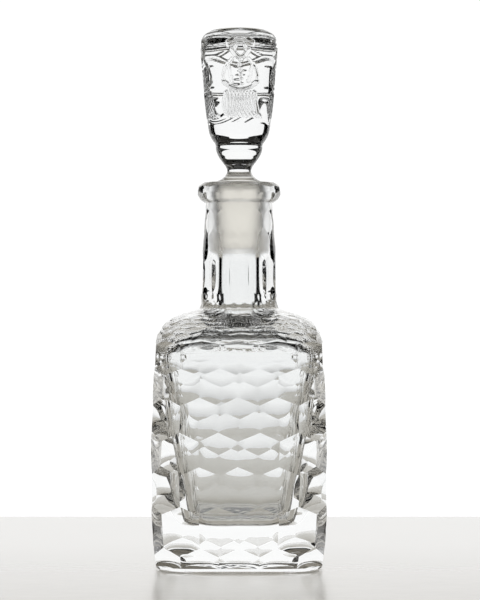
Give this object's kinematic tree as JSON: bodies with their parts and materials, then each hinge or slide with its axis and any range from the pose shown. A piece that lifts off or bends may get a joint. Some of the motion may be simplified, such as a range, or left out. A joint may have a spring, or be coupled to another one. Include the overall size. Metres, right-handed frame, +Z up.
{
  "type": "cut crystal decanter",
  "caption": "Square heavy-walled decanter cut all over with hollow hexagonal facets, faceted neck, rounded lip and a solid ground-in stopper with figures in relief.",
  "frame": {"origin": "centre of the underside, on the surface that the decanter stands on", "axes": "+Z up the neck, the front face towards -Y, +X to the right of a viewer who faces the front"},
  "size_m": [0.0958, 0.0958, 0.2952],
  "materials": {
    "bottle_crystal": "lead crystal, wheel cut in hollow facets and polished; the taper inside the mouth is ground matt",
    "stopper_crystal": "lead crystal, pressed and fire polished; the plug is ground matt"
  },
  "bodies": {
    "bottle": {"bottle": "bottle_crystal"},
    "stopper": {"stopper": "stopper_crystal"}
  },
  "joints": [
    {"name": "stopper_lift", "type": "slide", "parent": "bottle", "child": "stopper", "axis": [0, 0, 1], "range_m": [0, 0.05]}
  ]
}
